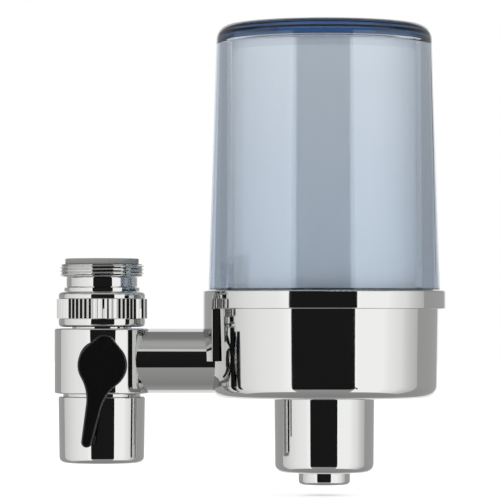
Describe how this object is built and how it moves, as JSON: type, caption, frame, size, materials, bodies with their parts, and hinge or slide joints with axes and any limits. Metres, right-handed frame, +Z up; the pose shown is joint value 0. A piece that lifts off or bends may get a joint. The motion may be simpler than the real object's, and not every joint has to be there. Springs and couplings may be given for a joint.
{
  "type": "faucet mount water filter",
  "caption": "Faucet diverter with a swivel inlet, knurled union nut and lever, its arm carrying a filter head with a tall clear cover over a cartridge.",
  "frame": {"origin": "on the diverter's upright axis, at the top end of the inlet thread", "axes": "+Z up along the inlet thread, +X along the arm to the filter head, -Y to the lever's side"},
  "size_m": [0.1113, 0.069, 0.1307],
  "materials": {
    "inlet_rubber": "grey rubber, moulded",
    "seal_rubber": "black nitrile rubber",
    "chrome_brass": "brass, polished and chrome plated",
    "chrome_plastic": "moulded ABS, chrome plated",
    "bare_brass": "turned brass",
    "spring_steel": "stainless steel",
    "seat_plastic": "white PTFE",
    "lever_plastic": "black moulded ABS",
    "cage_plastic": "white moulded acetal",
    "clear_cover": "pale blue clear SAN",
    "wrap_felt": "white melt-blown filter felt",
    "cap_plastic": "white moulded polypropylene",
    "carbon_block": "pressed carbon block"
  },
  "bodies": {
    "inlet": {"faucet_washer": "inlet_rubber", "thread_nipple": "chrome_brass", "nipple_washer": "seal_rubber"},
    "valve": {"nut_snap_ring": "spring_steel", "valve_body": "chrome_brass", "seat_top": "seat_plastic", "seat_bottom": "seat_plastic", "seat_side": "seat_plastic", "seat_retainer": "bare_brass", "base_bowl": "chrome_plastic", "base_ring": "chrome_plastic", "arm_lock_nut": "bare_brass", "arm_o_ring": "seal_rubber", "cartridge_wrap": "wrap_felt", "cartridge_core": "carbon_block", "cartridge_top_cap": "cap_plastic", "cartridge_bottom_cap": "cap_plastic", "cartridge_seal": "seal_rubber"},
    "nut": {"union_nut": "chrome_brass"},
    "lever": {"valve_ball": "chrome_brass", "valve_stem": "bare_brass", "stem_o_rings": "seal_rubber", "lever": "lever_plastic"},
    "cover_seal": {"cover_o_ring": "seal_rubber"},
    "cover": {"cover": "clear_cover"},
    "aerator_seal": {"aerator_washer": "seal_rubber"},
    "aerator": {"aerator_collar": "chrome_brass", "aerator_cage": "cage_plastic", "aerator_screen": "spring_steel"}
  },
  "joints": [
    {"name": "inlet_swivel", "type": "hinge", "parent": "inlet", "child": "valve", "pos_m": [0, 0, 0], "axis": [0, 0, 1], "continuous": true},
    {"name": "union_nut_turn", "type": "hinge", "parent": "valve", "child": "nut", "pos_m": [0, 0, 0], "axis": [0, 0, 1], "continuous": true},
    {"name": "lever_turn", "type": "hinge", "parent": "valve", "child": "lever", "pos_m": [0, 0, -0.02745], "axis": [0, 1, 0], "range_deg": [0, 90]},
    {"name": "cover_rise", "type": "slide", "parent": "valve", "child": "cover_seal", "axis": [0, 0, 1], "range_m": [0, 0.00418]},
    {"name": "cover_turn", "type": "hinge", "parent": "cover_seal", "child": "cover", "pos_m": [0.0632, 0, 0], "axis": [0, 0, 1], "range_deg": [0, 600]},
    {"name": "aerator_drop", "type": "slide", "parent": "valve", "child": "aerator_seal", "axis": [0, 0, -1], "range_m": [0, 0.00451]},
    {"name": "aerator_turn", "type": "hinge", "parent": "aerator_seal", "child": "aerator", "pos_m": [0, 0, 0], "axis": [0, 0, -1], "range_deg": [0, 1620]}
  ],
  "couplings": [
    {"joint": "cover_rise", "follows": "cover_turn", "m_per_rad": 0.00039789},
    {"joint": "aerator_drop", "follows": "aerator_turn", "m_per_rad": 0.00015915}
  ]
}
